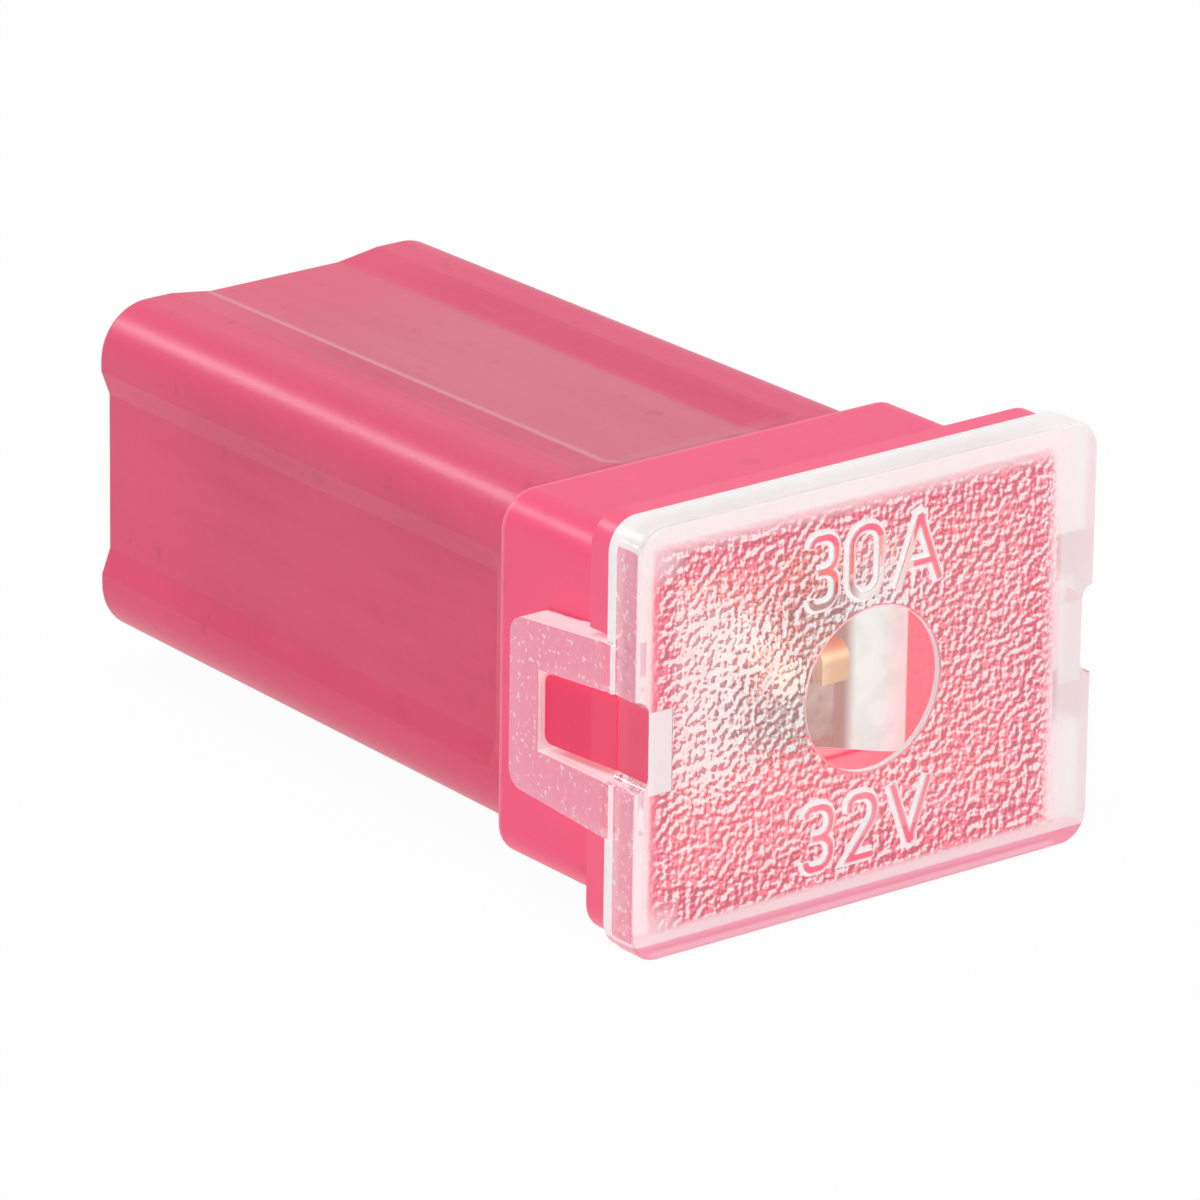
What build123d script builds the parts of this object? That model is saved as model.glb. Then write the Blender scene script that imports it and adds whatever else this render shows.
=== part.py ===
"""A plug-in fusible link with female terminals, under a clear clip-on lid. Millimetres.

The link lies on its side as it would on a bench. X runs across the lid, Y runs from the
lid at the front to the blade slots at the rear, and Z is up. The lid's lower edge is on
Z = 0, and the origin is under the middle of the whole link.
"""
import os

from build123d import *

os.makedirs("parts", exist_ok=True)

# Blades that the terminals take
blade_width = 6.3
blade_gap = 0.8

# Fuse element, one stamping from copper alloy sheet
sheet = 0.4
blade_slack = 0.2           # from a blade's edge to the terminal's side
terminal_spread = 8.8       # across the outer faces of both terminals
terminal_depth = 2.2
terminal_length = 12.5
roll_width = 1.6            # across each rolled edge
roll_radius = 0.56
base_radius = 0.4
element_recess = 1.66       # from the lid's rear face to the fuse section
strip_height = 5.8
neck_height = 4.1           # fuse section beside the narrow link
shoulder_x = 3.4            # where the strip begins to taper
neck_x = 1.25               # where the taper ends, from the link's middle
link_middle = -0.85         # narrow link, left of the middle
link_x = 0.4                # half length of the narrow link
link_height = 1.2
bend_radius = 2.0           # outer radius of the two front bends

# Low-melting chip and its claws
chip_length = 2.6
chip_top = 0.75             # upper edge, from the strip's middle
chip_height = 2.4
chip_depth = 0.7
chip_round = 0.2
claw_x = 0.85               # middle of each claw, from the link's middle
claw_width = 0.9
claw_lap = 0.6              # how far a claw laps over the chip's front
claw_radius = 0.25

# Walls of the housing around the terminal chambers
chamber_gap = 0.05          # between a terminal and its chamber
wall_side = 1.39            # at the rear end, outside each chamber
wall_low = 0.77             # at the rear end, below the chambers
wall_high = 1.05            # at the rear end, above the chambers
wall_mouth = 0.9            # around the mouth behind the lid
wall_rear = 1.0
divider = 1.2               # wall between the two terminal chambers
slot_width = 1.6            # blade slot in the rear wall
slot_slack = 0.3            # from a blade's edge to the slot's end
slot_lead = 0.35            # lead-in chamfer of a slot

# Rear part of the housing
body_length = 18.87
side_draft = 0.16
low_draft = 0.22
high_draft = 0.05
body_corner = 1.5
body_end_edge = 0.15
lobe_width = 2.35           # corner lobes, across the top and bottom
lobe_height = 1.8           # corner lobes, up the sides
top_slope = 1.35            # length of the soft step from a lobe to the sunk face
side_slope = 0.7
side_sink = 0.27
top_sink = 0.19
crease_radius = 0.8         # where a sunk face meets its slopes
crest_radius = 5.0          # where a slope meets its lobe
ramp_start = 0.6            # where the sunk faces begin behind the collar
ramp_length = 0.7
start_sink = 0.2            # share of the sink at the start of the ramp

# Collar and flange of the housing
side_step = 0.68            # steps from the rear part out to the collar
low_step = 0.11
high_step = 0.2
collar_length = 4.7
collar_draft = 0.04
collar_corner = 1.0
collar_edge = 0.15
flange_inset = 0.2          # how far the flange stands inside the lid's sides
flange_inset_high = 0.15    # how far it stands inside the lid's upper and lower edge
flange_length = 0.91
flange_corner = 0.9
arm_gap = 0.03              # between an arm and the housing's side
arm_edge_gap = 0.1          # between an arm's edges and the flange

# Lid plate
lid_drop = 0.6              # from the collar's underside down to the lid's lower edge
lid_rise = 1.1              # from the collar's top up to the lid's upper edge
lid_corner = 0.85
plate_front = 0.88          # textured outer part of the plate's edge
plate_rear = 0.36           # polished rear part of the plate's edge
rear_inset = 0.03           # how far the rear part stands back
plate_edge = 0.15           # rounding of the plate's front edges
seat_gap = 0.02             # between the plate and the flange
disc_diameter = 4.45        # smooth viewing disc, sunk in the front face
disc_depth = 0.2
disc_x = 0.15

# Latch arms of the lid, measured up and down from the lid's middle
arm_proud = 0.07            # how far an arm stands out past the plate
arm_thickness = 0.92
arm_length = 3.86
arm_below = 2.65
arm_above = 2.58
arm_low_rise = 0.25         # how much each edge closes in towards the free end
arm_high_fall = 0.38
arm_corner = 0.5
window_below = 1.17
window_above = 1.28
window_fall = 0.23
latch_bar = 1.15            # bar behind the window that hooks on the catch
notch_depth = 0.43          # notch in the plate's side ahead of each window
notch_above = 1.3           # from the lid's middle up to the notch's upper edge
notch_below = 1.19
notch_corner = 0.4

# Catches on the housing's sides, ramps that rise towards the rear
catch_sink = 0.23           # from the arm's outer face in to the catch's rear end
catch_ramp = 0.24           # how far the ramp falls towards the lid
catch_gap_low = 0.2         # between a catch and the window's edges
catch_gap_high = 0.12
catch_front_gap = 0.05      # between a catch and the lid's plate
catch_corner = 0.25
latch_gap = 0.04            # between the catch's rear end and the latch bar

# Characters raised on the lid
raised = 0.15
stroke = 0.18
foot_height = 0.03          # low margin around each character
foot_width = 0.11
bend = stroke / 2 + foot_width + 0.02    # tightest bend of a stroke's middle line
upper_x = (-1.66, -0.26, 1.5)           # middle of each character
lower_x = (-1.64, -0.2, 1.4)
digit_width = 1.0
zero_width = 1.16
a_width = 1.6
v_width = 1.42
upper_row = 2.58            # from the lid's middle up to the upper row
upper_height = 2.02
lower_row = 2.73            # from the lid's middle down to the lower row
lower_height = 1.85

# Places along Y
lid_length = raised + plate_front + plate_rear
total_length = lid_length + seat_gap + flange_length + collar_length + body_length
y_front = raised - total_length / 2
y_plate_step = y_front + plate_front
y_seat = y_plate_step + plate_rear
y_flange = y_seat + seat_gap
y_collar = y_flange + flange_length
y_body = y_collar + collar_length
y_rear = y_body + body_length
y_rear_wall = y_rear - wall_rear
y_arm_end = y_seat + arm_length
y_window_end = y_arm_end - latch_bar
y_chamber = y_body - wall_mouth
y_element = y_seat + element_recess
y_terminal = y_rear_wall - terminal_length

# Places across X, from the terminals outwards
base_outer = terminal_spread / 2
base_line = base_outer - sheet / 2
blade_x = base_outer - sheet - blade_gap / 2
chamber_outer = base_outer + chamber_gap
rear_half = chamber_outer + wall_side
body_half = rear_half + side_draft
collar_half = body_half + side_step + collar_draft
mouth_half = collar_half - collar_draft - wall_mouth
arm_inner = collar_half + arm_gap
arm_outer = arm_inner + arm_thickness
lid_width = 2 * (arm_outer - arm_proud)
catch_outer = arm_outer - catch_sink

# Places up Z, from the lid's lower edge
collar_low = lid_drop
body_low = collar_low + low_step
rear_low = body_low + low_draft
side_line = blade_width / 2 + blade_slack + sheet / 2
chamber_half = side_line + sheet / 2 + chamber_gap
element_middle = rear_low + wall_low + chamber_half
rear_high = element_middle + chamber_half + wall_high
body_high = rear_high + high_draft
collar_high = body_high + high_step
housing_middle = (collar_low + collar_high) / 2
lid_height = collar_high + lid_rise
lid_middle = lid_height / 2
arm_low = lid_middle - arm_below
arm_high = lid_middle + arm_above
window_low = lid_middle - window_below
window_high = lid_middle + window_above
catch_low = window_low + catch_gap_low
catch_high = window_high - window_fall - catch_gap_high
SIDES = (1, -1)


def section_at(y):
    """Plane across the link at y, with local x along X and local y along Z."""
    return Plane.XZ.offset(-y)


def lobed_points(half, low, high, share):
    """Outline of the rear part: four corner lobes with a sunk face between each pair."""
    top_in = half - lobe_width
    top_out = top_in - top_slope
    side_low = low + lobe_height
    side_high = high - lobe_height
    sink_x = half - share * side_sink
    sink_z = share * top_sink
    right = [
        (top_out, low + sink_z), (top_in, low), (half, low), (half, side_low),
        (sink_x, side_low + side_slope), (sink_x, side_high - side_slope),
        (half, side_high), (half, high), (top_in, high), (top_out, high - sink_z),
    ]
    left = [(-x, z) for x, z in reversed(right)]
    return right + left


def three(middle, width, low, high, margin):
    """Figure 3 as two hooked strokes."""
    half = (width - stroke) / 2
    bottom = low + stroke / 2
    top = high - stroke / 2
    waist = (bottom + top) / 2
    with BuildSketch() as figure:
        for end, side in ((top, 1), (bottom, -1)):
            with BuildLine():
                FilletPolyline((middle - half, end - side * bend * 1.1), (middle - half, end),
                               (middle + half, end), (middle + half, waist),
                               (middle - half / 2, waist), radius=[bend, 0.95 * half, 0.95 * half])
            trace(line_width=stroke + 2 * margin)
    return figure.sketch


def two(middle, width, low, high, margin):
    """Figure 2 as one stroke."""
    half = (width - stroke) / 2
    bottom = low + stroke / 2
    top = high - stroke / 2
    with BuildSketch() as figure:
        with BuildLine():
            FilletPolyline((middle - half, top - half), (middle - half, top), (middle + half, top),
                           (middle + half, top - 1.6 * half), (middle - half, bottom),
                           radius=[bend, half, 1.2 * half])
            Line((middle - half, bottom), (middle + half, bottom))
        trace(line_width=stroke + 2 * margin)
    return figure.sketch


def zero(middle, width, low, high, margin):
    """Figure 0 as a closed ring."""
    with BuildSketch() as figure:
        with Locations((middle, (low + high) / 2)):
            for inset, mode in ((-margin, Mode.ADD), (stroke + margin, Mode.SUBTRACT)):
                RectangleRounded(width - 2 * inset, high - low - 2 * inset, width * 0.48 - inset, mode=mode)
    return figure.sketch


def letter_a(middle, width, low, high, margin):
    """Letter A as a bent stroke and a bar."""
    half = (width - stroke) / 2
    top = high - stroke * 1.2
    bar = low + (high - low) * 0.3
    with BuildSketch() as figure:
        with BuildLine():
            Polyline((middle - half, low), (middle - stroke * 0.15, top), (middle + stroke * 0.15, top),
                     (middle + half, low))
        trace(line_width=stroke + 2 * margin)
        with BuildLine():
            Line((middle - half * 0.72, bar), (middle + half * 0.72, bar))
        trace(line_width=stroke + 2 * margin)
    return figure.sketch


def letter_v(middle, width, low, high, margin):
    """Letter V as one bent stroke."""
    half = (width - stroke) / 2
    bottom = low + stroke * 1.2
    with BuildSketch() as figure:
        with BuildLine():
            Polyline((middle - half, high), (middle - stroke * 0.15, bottom),
                     (middle + stroke * 0.15, bottom), (middle + half, high))
        trace(line_width=stroke + 2 * margin)
    return figure.sketch


def rating_figures(margin):
    """The current in the upper row and the voltage in the lower one, widened by a margin."""
    upper_low = lid_middle + upper_row
    upper_high = upper_low + upper_height
    lower_high = lid_middle - lower_row
    lower_low = lower_high - lower_height
    with BuildSketch() as figures:
        add(three(upper_x[0], digit_width, upper_low, upper_high, margin))
        add(zero(upper_x[1], zero_width, upper_low, upper_high, margin))
        add(letter_a(upper_x[2], a_width, upper_low, upper_high, margin))
        add(three(lower_x[0], digit_width, lower_low, lower_high, margin))
        add(two(lower_x[1], digit_width, lower_low, lower_high, margin))
        add(letter_v(lower_x[2], v_width, lower_low, lower_high, margin))
    return figures.sketch


# Housing, one moulding: flange, collar, lobed rear part, catches
with BuildPart() as housing:
    with BuildSketch(section_at(y_flange)):
        with Locations((0, lid_middle)):
            RectangleRounded(lid_width - 2 * flange_inset, lid_height - 2 * flange_inset_high, flange_corner)
    extrude(amount=-flange_length)
    # The flange gives way where the latch arms pass
    for side in SIDES:
        with BuildSketch(section_at(y_flange)):
            with Locations((side * (collar_half + lid_width / 2), (arm_low + arm_high) / 2)):
                Rectangle(lid_width, arm_high - arm_low + 2 * arm_edge_gap)
        extrude(amount=-flange_length, mode=Mode.SUBTRACT)
    # Collar, with a little draft towards the rear
    with BuildSketch(section_at(y_collar)):
        with Locations((0, housing_middle)):
            RectangleRounded(2 * collar_half, collar_high - collar_low, collar_corner)
    with BuildSketch(section_at(y_body)):
        with Locations((0, housing_middle)):
            RectangleRounded(2 * (collar_half - collar_draft), collar_high - collar_low, collar_corner)
    loft(ruled=True)
    fillet(housing.faces().sort_by(Axis.Y)[-1].edges(), radius=collar_edge)
    # Rear part: plain just behind the collar, then the faces between the lobes sink
    stations = ((0, start_sink), (ramp_start, start_sink), (ramp_start + ramp_length, 1), (body_length, 1))
    for distance, share in stations:
        part_way = distance / body_length
        half = body_half - side_draft * part_way
        low = body_low + low_draft * part_way
        high = body_high - high_draft * part_way
        with BuildSketch(section_at(y_body + distance)) as station:
            with BuildLine():
                Polyline(*lobed_points(half, low, high, share), close=True)
            make_face()
            centre = (0, (low + high) / 2)
            soft = station.vertices().sort_by_distance(centre)[:-4]
            creases = [v for v in soft if abs(v.X) < half - lobe_width - top_slope / 2
                       or low + lobe_height + side_slope / 2 < v.Z < high - lobe_height - side_slope / 2]
            crests = [v for v in soft if v not in creases]
            fillet(station.vertices().sort_by_distance(centre)[-4:], radius=body_corner)
            fillet(crests, radius=crest_radius)
            fillet(creases, radius=crease_radius)
    loft(ruled=True)
    fillet(housing.faces().sort_by(Axis.Y)[-1].edges(), radius=body_end_edge)
    # Catches, one ramp on each side
    catch_start = y_seat + catch_front_gap
    catch_end = y_window_end - latch_gap
    for side in SIDES:
        with BuildSketch(Plane.YZ.offset(side * mouth_half)) as catch:
            with Locations(((catch_start + catch_end) / 2, (catch_low + catch_high) / 2)):
                Rectangle(catch_end - catch_start, catch_high - catch_low)
            fillet(catch.vertices().sort_by(Axis.X)[-2:], radius=catch_corner)
        extrude(amount=side * (catch_outer - mouth_half))
        with BuildSketch(Plane.XY.offset(catch_low)):
            with BuildLine():
                Polyline((side * catch_outer, catch_end), (side * catch_outer, catch_start),
                         (side * (catch_outer - catch_ramp), catch_start), close=True)
            make_face()
        extrude(amount=catch_high - catch_low, mode=Mode.SUBTRACT)
    # Mouth behind the lid
    with BuildSketch(section_at(y_flange)):
        with Locations((0, housing_middle)):
            Rectangle(2 * mouth_half, collar_high - collar_low - 2 * wall_mouth)
    extrude(amount=-(y_chamber - y_flange), mode=Mode.SUBTRACT)
    # Two terminal chambers, and a blade slot with a lead-in at the rear of each
    for side in SIDES:
        with BuildSketch(section_at(y_chamber)):
            with Locations((side * (chamber_outer + divider / 2) / 2, element_middle)):
                Rectangle(chamber_outer - divider / 2, 2 * chamber_half)
        extrude(amount=-(y_rear_wall - y_chamber), mode=Mode.SUBTRACT)
        with BuildSketch(section_at(y_rear_wall)):
            with Locations((side * blade_x, element_middle)):
                Rectangle(slot_width, blade_width + 2 * slot_slack)
        extrude(amount=-wall_rear, mode=Mode.SUBTRACT)
    rear_face = housing.faces().sort_by(Axis.Y)[-1]
    chamfer([edge for wire in rear_face.inner_wires() for edge in wire.edges()], length=slot_lead)
housing.part.label = "housing"
export_step(housing.part, "parts/housing.step")


# Lid, one clear moulding: plate, viewing disc, characters, two latch arms
with BuildPart() as lid:
    with BuildSketch(section_at(y_front)):
        with Locations((0, lid_middle)):
            RectangleRounded(lid_width, lid_height, lid_corner)
    extrude(amount=-plate_front)
    fillet(lid.faces().sort_by(Axis.Y)[0].edges(), radius=plate_edge)
    with BuildSketch(section_at(y_plate_step)):
        with Locations((0, lid_middle)):
            RectangleRounded(lid_width - 2 * rear_inset, lid_height - 2 * rear_inset, lid_corner)
    extrude(amount=-plate_rear)
    for side in SIDES:
        # Arm in side view, closing in a little towards its free end
        with BuildSketch(Plane.YZ.offset(side * arm_inner)) as arm:
            with BuildLine():
                Polyline((y_plate_step, arm_low), (y_seat, arm_low),
                         (y_arm_end, arm_low + arm_low_rise), (y_arm_end, arm_high - arm_high_fall),
                         (y_seat, arm_high), (y_plate_step, arm_high), close=True)
            make_face()
            fillet(arm.vertices().sort_by(Axis.X)[-2:], radius=arm_corner)
        extrude(amount=side * arm_thickness)
        # Window in the arm
        with BuildSketch(Plane.YZ.offset(side * arm_inner)):
            with BuildLine():
                Polyline((y_seat, window_low), (y_window_end, window_low),
                         (y_window_end, window_high - window_fall), (y_seat, window_high), close=True)
            make_face()
        extrude(amount=side * arm_thickness, mode=Mode.SUBTRACT)
        # Notch in the plate ahead of the window
        with BuildSketch(section_at(y_front)):
            with Locations((side * lid_width / 2, lid_middle + (notch_above - notch_below) / 2)):
                RectangleRounded(2 * notch_depth, notch_above + notch_below, notch_corner)
        extrude(amount=-(y_seat - y_front), mode=Mode.SUBTRACT)
    # Smooth viewing disc
    with BuildSketch(section_at(y_front)):
        with Locations((disc_x, lid_middle)):
            Circle(disc_diameter / 2)
    extrude(amount=-disc_depth, mode=Mode.SUBTRACT)
    # Raised rating figures, each with a low foot around it
    for height, margin in ((raised, 0), (foot_height, foot_width)):
        with BuildSketch(section_at(y_front - height)):
            add(rating_figures(margin))
        extrude(amount=-height)
lid.part.label = "lid"
export_step(lid.part, "parts/lid.step")


# Fuse element, one stamping: two terminals, two bent legs and the narrow link between
with BuildPart() as fuse_element:
    # Strip from one terminal round the front to the other, in plan
    with BuildSketch(Plane.XY.offset(element_middle - strip_height / 2)):
        for inset, mode in ((0, Mode.ADD), (sheet, Mode.SUBTRACT)):
            with BuildLine():
                half = base_outer - inset
                FilletPolyline((half, y_terminal), (half, y_element + inset),
                               (-half, y_element + inset), (-half, y_terminal), radius=bend_radius - inset)
                Line((-half, y_terminal), (half, y_terminal))
            make_face(mode=mode)
    extrude(amount=strip_height)
    # The fuse section tapers from the bends to a narrow link in the middle
    for end in SIDES:
        edge = element_middle + end * strip_height / 2
        neck = element_middle + end * neck_height / 2
        link = element_middle + end * link_height / 2
        with BuildSketch(section_at(y_element)):
            with BuildLine():
                Polyline((-shoulder_x, edge), (link_middle - neck_x, neck), (link_middle - link_x, neck),
                         (link_middle - link_x, link), (link_middle + link_x, link),
                         (link_middle + link_x, neck), (link_middle + neck_x, neck),
                         (shoulder_x, edge), close=True)
            make_face()
        extrude(amount=-bend_radius, mode=Mode.SUBTRACT)
    # Terminals: a flat base with both long edges rolled over the blade
    for side in SIDES:
        base = side * base_line
        crest = side * (base_line - terminal_depth + sheet)
        tip = side * (base_line - sheet - blade_gap)
        with BuildSketch(section_at(y_terminal)):
            with BuildLine():
                profile = [(tip, side_line - roll_width + sheet), (crest, side_line - roll_width + sheet),
                           (crest, side_line), (base, side_line)]
                mirrored = [(x, -z) for x, z in reversed(profile)]
                FilletPolyline(*[(x, element_middle + z) for x, z in profile + mirrored],
                               radius=[roll_radius, roll_radius, base_radius,
                                       base_radius, roll_radius, roll_radius])
            trace(line_width=sheet)
        extrude(amount=-terminal_length)
    # Claws folded over the chip from above
    over = element_middle + chip_top + sheet / 2
    front = y_element - chip_depth - sheet / 2
    for side in SIDES:
        with BuildSketch(Plane.YZ.offset(link_middle + side * claw_x - claw_width / 2)):
            with BuildLine():
                FilletPolyline((y_element + sheet / 2, over), (front, over),
                               (front, over - claw_lap - sheet / 2), radius=claw_radius)
            trace(line_width=sheet)
        extrude(amount=claw_width)
fuse_element.part.label = "fuse_element"
export_step(fuse_element.part, "parts/fuse_element.step")


# Low-melting chip that lies on the link between the claws
with BuildPart() as tin_chip:
    with BuildSketch(section_at(y_element - chip_depth)):
        with Locations((link_middle, element_middle + chip_top - chip_height / 2)):
            Rectangle(chip_length, chip_height)
    extrude(amount=-chip_depth)
    fillet(tin_chip.edges(), radius=chip_round)
tin_chip.part.label = "tin_chip"
export_step(tin_chip.part, "parts/tin_chip.step")
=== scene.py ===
import math

import bmesh
import bpy
from mathutils import Matrix, Vector


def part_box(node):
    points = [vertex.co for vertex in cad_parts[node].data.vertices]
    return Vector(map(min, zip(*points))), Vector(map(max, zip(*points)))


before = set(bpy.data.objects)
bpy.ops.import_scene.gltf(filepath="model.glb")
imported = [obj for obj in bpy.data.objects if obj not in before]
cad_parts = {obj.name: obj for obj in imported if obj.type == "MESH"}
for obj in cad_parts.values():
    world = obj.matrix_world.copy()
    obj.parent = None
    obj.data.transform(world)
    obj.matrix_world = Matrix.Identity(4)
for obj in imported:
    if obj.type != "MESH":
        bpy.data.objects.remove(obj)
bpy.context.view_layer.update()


# Camera, at the photograph's place: low over the bench, in front of the lid and to its left.
# It is set from the middle of the lid's front face, which lies right of the frame's middle.
MM = 0.001
azimuth, elevation, roll = (math.radians(v) for v in (-38.408, 20.072, 0.83))
frame_width = 1200                   # pixels across the square frame
focal = 9591.0                       # in those pixels
lid_pixel = (868.625, 689.637)       # where the lid's middle shows in the frame
distance = 245.3 * MM
back = Vector((math.sin(azimuth) * math.cos(elevation), -math.cos(azimuth) * math.cos(elevation),
               math.sin(elevation)))
across = Vector((math.cos(azimuth), math.sin(azimuth), 0))
upward = back.cross(across)
right = across * math.cos(roll) + upward * math.sin(roll)
up = upward * math.cos(roll) - across * math.sin(roll)
characters_proud = 0.15
lid_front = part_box("lid")[0][1] / MM + characters_proud
lid_middle = Vector((0, lid_front, 5.856)) * MM
pixels_right, pixels_down = (v - frame_width / 2 for v in lid_pixel)
eye = (lid_middle + back * distance - right * (pixels_right / focal * distance)
       + up * (pixels_down / focal * distance))
camera = bpy.data.objects.new("camera", bpy.data.cameras.new("camera"))
bpy.context.scene.collection.objects.link(camera)
camera.data.sensor_width = 36
camera.data.lens = focal / frame_width * camera.data.sensor_width
camera.data.clip_start = 0.01
camera.data.clip_end = 20
camera.matrix_world = Matrix((right, up, back)).transposed().to_4x4()
camera.location = eye
bpy.context.scene.camera = camera
bpy.context.scene.view_settings.view_transform = "Standard"


# Housing: one injection moulding in pink nylon. Flange, collar, four long corner lobes and two
# catches. The surface is satin, with faint flow marks along its length.
class Shade:
    """One socket of a shader tree, so that masks and colours read as formulas."""

    def __init__(self, tree, output=None):
        self.tree = tree
        self.output = output

    def node(self, kind, settings=None, inputs=None, out=0):
        """Adds a node, sets it, feeds its sockets, and gives back one of its outputs."""
        made = self.tree.nodes.new(kind)
        for name, value in (settings or {}).items():
            setattr(made, name, value)
        for name, value in (inputs or {}).items():
            if isinstance(value, Shade):
                self.tree.links.new(value.output, made.inputs[name])
            else:
                made.inputs[name].default_value = value
        return Shade(self.tree, made.outputs[out] if made.outputs else None)

    def maths(self, operation, first, second=0.0):
        return self.node("ShaderNodeMath", {"operation": operation}, {0: first, 1: second})

    def __add__(self, other):
        return self.maths("ADD", self, other)

    def __sub__(self, other):
        return self.maths("SUBTRACT", self, other)

    def __mul__(self, other):
        return self.maths("MULTIPLY", self, other)

    def __rsub__(self, other):
        return self.maths("SUBTRACT", other, self)

    __radd__ = __add__
    __rmul__ = __mul__

    def __abs__(self):
        return self.maths("ABSOLUTE", self)

    def __or__(self, other):
        """The larger of two masks."""
        return self.maths("MAXIMUM", self, other)

    def over(self, limit, soft):
        """1 where the value is above the limit, 0 below it, with a soft step between."""
        return self.node("ShaderNodeMapRange", {"interpolation_type": "SMOOTHSTEP"},
                         {"Value": self, "From Min": limit - soft / 2, "From Max": limit + soft / 2})

    def under(self, limit, soft):
        return 1 - self.over(limit, soft)

    def between(self, low, high, soft):
        """1 from the low limit to the high one, 0 elsewhere."""
        return self.over(low, soft) * self.under(high, soft)

    def blend(self, first, second):
        """Mixes two colours by this mask."""
        return self.node("ShaderNodeMix", {"data_type": "RGBA"}, {0: self, 6: first, 7: second}, 2)

    def noise(self, scale, detail, roughness):
        """Noise at this place, about scale lumps to the millimetre."""
        return self.node("ShaderNodeTexNoise", {}, {
            "Vector": self, "Scale": scale, "Detail": detail, "Roughness": roughness})

    def axes(self):
        """The x, y and z of this place."""
        parts = self.node("ShaderNodeSeparateXYZ", {}, {0: self}).output.node.outputs
        return [Shade(self.tree, part) for part in parts]

    def moved(self, x, y, z):
        """This place moved along, so that a pattern is read beside itself."""
        return self.node("ShaderNodeVectorMath", {"operation": "ADD"}, {0: self, 1: (x, y, z)})

    def stretched(self, x, y, z):
        """This place scaled, so that a factor under 1 draws a pattern out along that axis."""
        return self.node("ShaderNodeVectorMath", {"operation": "MULTIPLY"}, {0: self, 1: (x, y, z)})


def start_material(name):
    """New material and its tree, which is empty."""
    material = bpy.data.materials.new(name)
    material.use_nodes = True
    material.node_tree.nodes.clear()
    return material, Shade(material.node_tree)


def place_in_mm(tree):
    """Place on the piece in mm, from its Object coordinates."""
    place = tree.node("ShaderNodeTexCoord", out="Object")
    return tree.node("ShaderNodeVectorMath", {"operation": "SCALE"}, {0: place, "Scale": 1 / MM})


def finish_material(material, tree, shader, piece):
    """Ends the tree with a shader and gives the material to a piece."""
    tree.node("ShaderNodeOutputMaterial", {}, {"Surface": shader})
    piece.data.materials.clear()
    piece.data.materials.append(material)


def srgb(r, g, b):
    """Colour as a screen shows it, 0 to 255, to the shader's linear colour."""
    def linear(v):
        v = v / 255
        return v / 12.92 if v <= 0.04045 else ((v + 0.055) / 1.055) ** 2.4
    return (linear(r), linear(g), linear(b), 1)


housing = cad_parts["housing"]
collar_rear = lid_front + 6.86
mouth_rear = lid_front + 5.9
chambers_rear = lid_front + 22
top_height = 10                      # only the housing's upper faces lie higher
material, tree = start_material("pink_nylon")
place = place_in_mm(tree)
x, y, z = place.axes()
flow = place.stretched(1.0, 0.12, 1.0).noise(0.9, 4.0, 0.6)
grain = place.noise(4.5, 3.0, 0.5)
clouds = (place.noise(0.16, 3.0, 0.55) * 0.55 + flow * 0.45).over(0.52, 0.3)
marks = place.noise(1.1, 2.0, 0.4).over(0.7, 0.06)
# Painted light: lobes, collar and rear end lighter, sunk top greyer as a painted reflection, catches
# a deeper glowing pink
lit_lobes = abs(x).over(3.6, 0.8) * (z.over(9.3, 0.8) | z.under(2.4, 0.8))
sunk_top_reflection = abs(x).under(2.3, 0.4) * z.over(top_height, 0.2)
collar = y.under(collar_rear, 0.06)
lit_rear_end = y.over(chambers_rear, 7)
catches = abs(x).over(6.9, 0.1) * z.between(4.7, 7.0, 0.1) * collar
# Painted highlights: light lines along the crease on the top and on the rim of the collar
crease_highlight = abs(x + 2.3).under(0.1, 0.2) * z.over(top_height, 0.2) * y.over(collar_rear + 0.74, 0.8)
rim_highlight = y.between(collar_rear - 0.2, collar_rear - 0.02, 0.05)
# Nylon pink in two random tones, then the painted light, reflection and highlights of the masks
# above; the darker marks are the flow marks
pink = clouds.blend(srgb(240, 84, 122), srgb(231, 74, 111))
pink = (lit_lobes * 0.6).blend(pink, srgb(253, 92, 132))
pink = (sunk_top_reflection * 0.2).blend(pink, srgb(225, 186, 194))
pink = (collar | lit_rear_end * 0.6).blend(pink, srgb(255, 88, 128))
pink = catches.blend(pink, srgb(250, 52, 98))
pink = (marks * 0.3).blend(pink, srgb(205, 76, 106))
pink = (crease_highlight * (0.25 + 0.4 * flow)).blend(pink, srgb(255, 196, 208))
pink = (rim_highlight * 0.3).blend(pink, srgb(255, 176, 196))
# Light that the thin walls let through: in the collar, behind the lid, in the mouth and chambers
mouth = (abs(x).under(5.9, 0.1) * y.between(lid_front + 1.3, mouth_rear, 0.1)
         * z.between(1.3, 9.9, 0.1))
chambers = (abs(x).under(4.6, 0.1) * y.between(mouth_rear, chambers_rear, 0.1)
            * z.between(1.6, 9.4, 0.1))
behind_lid = y.between(lid_front + 1.0, lid_front + 2.2, 0.1) * (1 - mouth)
glow = (collar | catches).blend((0, 0, 0, 1), (0.1, 0.01, 0.03, 1))
glow = behind_lid.blend(glow, srgb(96, 48, 60))
glow = chambers.blend(glow, srgb(196, 134, 130))
glow = mouth.blend(glow, srgb(142, 110, 118))
bump = tree.node("ShaderNodeBump", {}, {
    "Strength": 0.22, "Distance": 0.05 * MM, "Height": grain * 0.6 + flow * 0.8})
shader = tree.node("ShaderNodeBsdfPrincipled", {}, {
    "Base Color": pink, "Roughness": 0.3 + 0.12 * flow, "Normal": bump, "IOR": 1.45,
    "Emission Color": glow, "Emission Strength": 1.0})
finish_material(material, tree, shader, housing)


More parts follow.
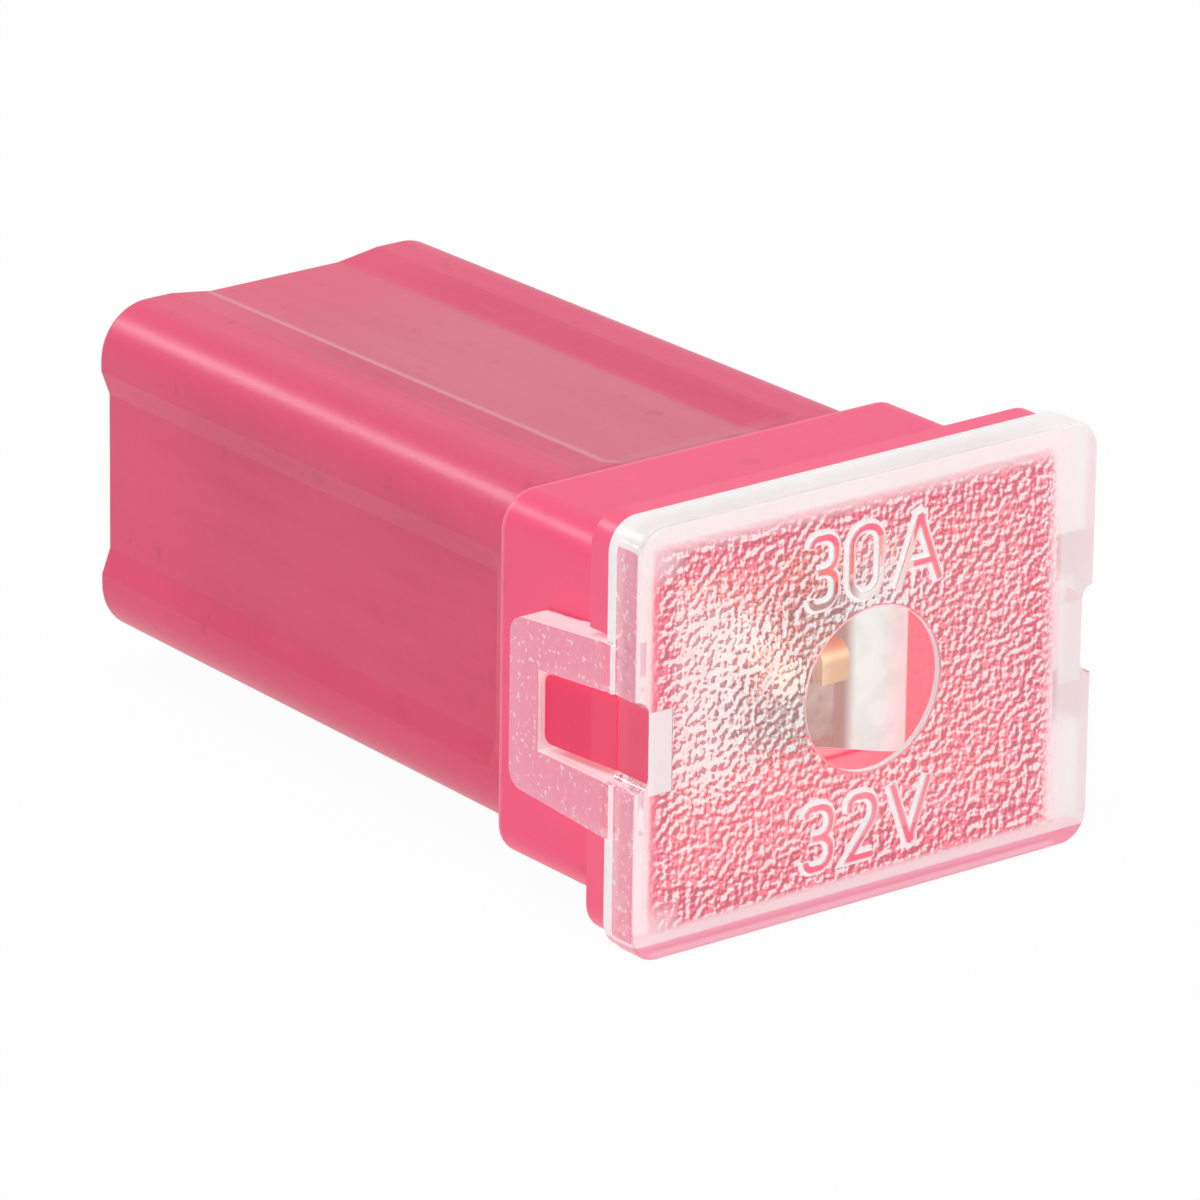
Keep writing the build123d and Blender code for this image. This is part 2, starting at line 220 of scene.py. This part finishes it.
# Lid: one moulding in clear polycarbonate, clipped over the housing's catches by two arms.
# Its front has a pebbled grain, left off a round viewing disc and the raised rating figures.
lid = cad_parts["lid"]
plate_half = 7.6                     # half the plate's width
plate_step = 0.88                    # from the lid's face back to the step in its edge
plate_back = 1.24                    # from the lid's face back to the plate's rear
arm_outer = 7.67
notch_end = 7.17
disc_radius = 2.225
material, tree = start_material("clear_polycarbonate")
place = place_in_mm(tree)
x, y, z = place.axes()
# Places on the lid, measured from its front face, its middle height and the disc's middle
depth = y - lid_front
height = z - 5.85
from_disc = x - 0.15
reach = from_disc * from_disc + height * height
reach = reach.maths("SQRT", reach)
at_face = depth.under(0.06, 0.06)
in_disc = reach.under(disc_radius + 0.045, 0.04)
border = abs(x).over(7.3, 0.3) | abs(height).over(5.5, 0.3)
slot_face = abs(abs(x) - 6.8).under(0.38, 0.04) * z.between(4.55, 6.8, 0.04) * at_face
field = (at_face * (1 - depth.under(-0.12, 0.04)) * (1 - border) * (1 - in_disc)
         * (1 - slot_face))
plate_side = abs(x).over(plate_half - 0.1, 0.05) * (1 - at_face)
outer = ((abs(x).over(plate_half - 0.04, 0.02) * depth.under(plate_step + 0.02, 0.02)
          | abs(x).over(arm_outer - 0.03, 0.02)) * (1 - at_face))
# The pebbled grain: bumps, with a painted highlight on one flank of each pebble and painted shade on
# the other
pebbles = place.noise(5.0, 1.2, 0.4)
relief = pebbles - place.moved(0.06, 0, -0.07).noise(5.0, 1.2, 0.4)
grained = field * x.between(-6.95, 6.1, 0.5) * height.between(-5.1, 5.2, 0.4)
glints = relief.over(0.07, 0.06)
painted_pebble_shade = relief.under(-0.055, 0.06) * grained
bump = tree.node("ShaderNodeBump", {}, {
    "Strength": 1.0, "Distance": 0.11 * MM, "Height": pebbles * (grained + plate_side * 0.25)})
clear = tree.node("ShaderNodeBsdfPrincipled", {}, {
    "Base Color": painted_pebble_shade.blend(srgb(250, 247, 247), srgb(152, 82, 98)), "Roughness": 0.03,
    "Normal": bump, "IOR": 1.5, "Transmission Weight": 1.0})
# Edges and walls that look white, because they gather light from all sides
figure_edge = depth.between(-0.12, -0.01, 0.02)
disc_wall = (reach.between(disc_radius - 0.045, disc_radius + 0.075, 0.03)
             * depth.between(0.02, 0.19, 0.02))
at_arm = z.between(3.2, 8.44, 0.05)
at_side = abs(x).over(plate_half - 0.1, 0.04)
rear_band = (depth.between(plate_step - 0.01, plate_back + 0.01, 0.03)
             * (at_side * (1 - at_arm) | height.over(5.75, 0.04))
             | depth.between(plate_step - 0.01, plate_step + 0.11, 0.02) * at_side)
rear_face = (depth.between(plate_back - 0.01, plate_back + 0.06, 0.02)
             * (abs(x).over(6.5, 0.3) | height.over(4.9, 0.4)))
arm_edge = depth.over(plate_back + 0.06, 0.05) * abs(x).between(6.82, arm_outer + 0.02, 0.03)
top_edge = ((height.over(5.7, 0.05) | abs(x).over(6.7, 0.1) * abs(height).over(5.0, 0.1))
            * (1 - at_face))
corners = abs(x).over(6.2, 1.2) * abs(height).over(4.4, 1.2)
margins = x.over(6.25, 0.5) | height.under(-5.0, 0.3) | height.over(5.0, 0.6) * 0.8
cloudy = place.noise(0.7, 2.0, 0.6)
# Painted reflection of the housing's pink in the clear walls: outer sides, lowest edge and the
# notches' end walls
low_edge = height.under(-5.36, 0.08)
notch_wall = (abs(abs(x) - notch_end).under(0.04, 0.02) * z.between(4.68, 7.14, 0.03)
              * depth.between(0.02, plate_back, 0.01))
specks = place.noise(6.0, 2.0, 0.5).over(0.63, 0.05)
painted_pink = outer * (1 - rear_band) | low_edge
colour = painted_pink.blend(srgb(252, 249, 249), srgb(248, 156, 178))
colour = (specks * outer * 0.6).blend(colour, srgb(254, 244, 245))
colour = notch_wall.blend(colour, srgb(240, 62, 104))
# The milky shader carries the painted highlights and the painted pink, and a faint painted glow of
# their colour
milky = tree.node("ShaderNodeBsdfPrincipled", {}, {
    "Base Color": colour, "Roughness": 0.3, "Normal": bump, "IOR": 1.5,
    "Emission Color": colour, "Emission Strength": 0.15})
haze = (field * 0.12 + grained * glints * 0.76 | figure_edge * 0.95 | disc_wall * 0.95
        | top_edge * 0.8 | rear_band * 0.95 | rear_face * (0.75 + 0.25 * cloudy)
        | arm_edge * 0.93 | slot_face * 0.85 | at_face * corners * 0.6 | at_face * border * 0.55
        | at_face * margins * 0.72 | outer * 0.72 | low_edge * 0.7 | notch_wall * 0.95)
shader = tree.node("ShaderNodeMixShader", {}, {0: haze, 1: clear, 2: milky})
# Lamps shine through the lid on to what lies behind it
is_shadow = tree.node("ShaderNodeLightPath", out="Is Shadow Ray")
open_light = tree.node("ShaderNodeBsdfTransparent", {}, {0: (0.95, 0.95, 0.95, 1)})
shader = tree.node("ShaderNodeMixShader", {}, {0: is_shadow, 1: shader, 2: open_light})
finish_material(material, tree, shader, lid)


# Fuse element: one stamping in tin-plated copper alloy. Its narrow link lies under the lid's
# disc, with claws folded over the chip, and each end is rolled into a terminal.
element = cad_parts["fuse_element"]
element_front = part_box("fuse_element")[0][1] / MM
material, tree = start_material("tinned_copper")
place = place_in_mm(tree)
x, y, z = place.axes()
marks = place.stretched(1.0, 1.0, 0.08).noise(6.0, 3.0, 0.6)
claws = y.under(element_front + 1.05, 0.1)
front_face = y.under(element_front + 3.2, 0.4)
# Painted shade darkens the strip behind the chip, and painted glow lights it on both sides, standing
# for light from the clear lid
shaded_middle = x.between(-0.6, 1.4, 0.6) * front_face
bright_left = x.under(-0.6, 1.4) * front_face
bright_right = x.between(1.4, 4.6, 0.5) * front_face
metal = place.noise(0.8, 3.0, 0.6).over(0.5, 0.3).blend(srgb(236, 226, 220), srgb(222, 208, 200))
metal = shaded_middle.blend(metal, srgb(192, 160, 148))
metal = (claws * 0.85).blend(metal, srgb(240, 205, 158))
glow = bright_left.blend((0.02, 0.01, 0.01, 1), (0.4, 0.44, 0.41, 1))
glow = bright_right.blend(glow, (0.17, 0.42, 0.4, 1))
bump = tree.node("ShaderNodeBump", {}, {"Strength": 0.15, "Distance": 0.03 * MM, "Height": marks})
shader = tree.node("ShaderNodeBsdfPrincipled", {}, {
    "Base Color": metal, "Metallic": 0.7, "Roughness": 0.42 + 0.2 * marks, "Normal": bump,
    "Emission Color": glow, "Emission Strength": 1.0})
finish_material(material, tree, shader, element)


# Low-melting chip: a small pressed block of tin alloy, clamped on the link by the claws.
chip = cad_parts["tin_chip"]
material, tree = start_material("tin_alloy")
dents = place_in_mm(tree).noise(2.2, 3.0, 0.6)
tin = dents.over(0.5, 0.4).blend(srgb(214, 190, 180), srgb(190, 166, 156))
bump = tree.node("ShaderNodeBump", {}, {"Strength": 0.4, "Distance": 0.08 * MM, "Height": dents})
# A faint warm painted glow lightens the tin
shader = tree.node("ShaderNodeBsdfPrincipled", {}, {
    "Base Color": tin, "Metallic": 1.0, "Roughness": 0.35 + 0.2 * dents, "Normal": bump,
    "Emission Color": (0.05, 0.03, 0.025, 1), "Emission Strength": 1.0})
finish_material(material, tree, shader, chip)


# Bench: a plain white sweep under the link, far larger than the view.
# The camera, and what gloss and the clear lid show, see it as plain white paper.
sweep = bmesh.new()
bmesh.ops.create_grid(sweep, x_segments=1, y_segments=1, size=3.0)
bench = bpy.data.objects.new("bench", bpy.data.meshes.new("bench"))
sweep.to_mesh(bench.data)
sweep.free()
bpy.context.scene.collection.objects.link(bench)
material, tree = start_material("white_paper")
paper = tree.node("ShaderNodeBsdfDiffuse", {}, {"Color": (0.85, 0.85, 0.85, 1)})
bright = tree.node("ShaderNodeEmission", {}, {"Color": (1, 1, 1, 1), "Strength": 1.0})


def ray_kinds(tree):
    """1 for rays from the camera, for reflected rays and for rays through something clear."""
    return [tree.node("ShaderNodeLightPath", out=ray)
            for ray in ("Is Camera Ray", "Is Glossy Ray", "Is Transmission Ray")]


is_camera, is_glossy, is_through = ray_kinds(tree)
seen = (is_camera | is_glossy | is_through) * 0.97
shader = tree.node("ShaderNodeMixShader", {}, {0: seen, 1: paper, 2: bright})
finish_material(material, tree, shader, bench)


# Studio light: an even white room with four soft boxes, above, in front of the lid, at its left
# and behind. The camera sees the room at full white, and gloss shows it a little dimmer.
world = bpy.data.worlds.new("studio")
bpy.context.scene.world = world
world.use_nodes = True
world.node_tree.nodes.clear()
room = Shade(world.node_tree)
is_camera, is_glossy, is_through = ray_kinds(room)
light = room.node("ShaderNodeBackground", {}, {
    "Color": (1, 1, 1, 1), "Strength": 0.4 + 0.6 * (is_camera | is_glossy * 0.5 | is_through)})
room.node("ShaderNodeOutputWorld", {}, {"Surface": light})


def soft_box(name, where, aim, size, watts):
    """Square soft box at a place in mm, turned to a point in mm."""
    lamp = bpy.data.objects.new(name, bpy.data.lights.new(name, "AREA"))
    lamp.data.shape = "SQUARE"
    lamp.data.size = size * MM
    lamp.data.energy = watts
    lamp.location = Vector(where) * MM
    lamp.rotation_euler = (Vector(aim) - Vector(where)).to_track_quat("-Z", "Y").to_euler()
    bpy.context.scene.collection.objects.link(lamp)


soft_box("box_above", (-40, 20, 260), (0, 0, 5), 120, 0.16)
soft_box("box_front", (70, -240, 90), (0, -10, 5), 120, 0.15)
soft_box("box_left", (-240, -60, 60), (0, 0, 5), 120, 0.05)
soft_box("box_behind", (-88, 192, 151), (0, 0, 5), 44, 0.12)
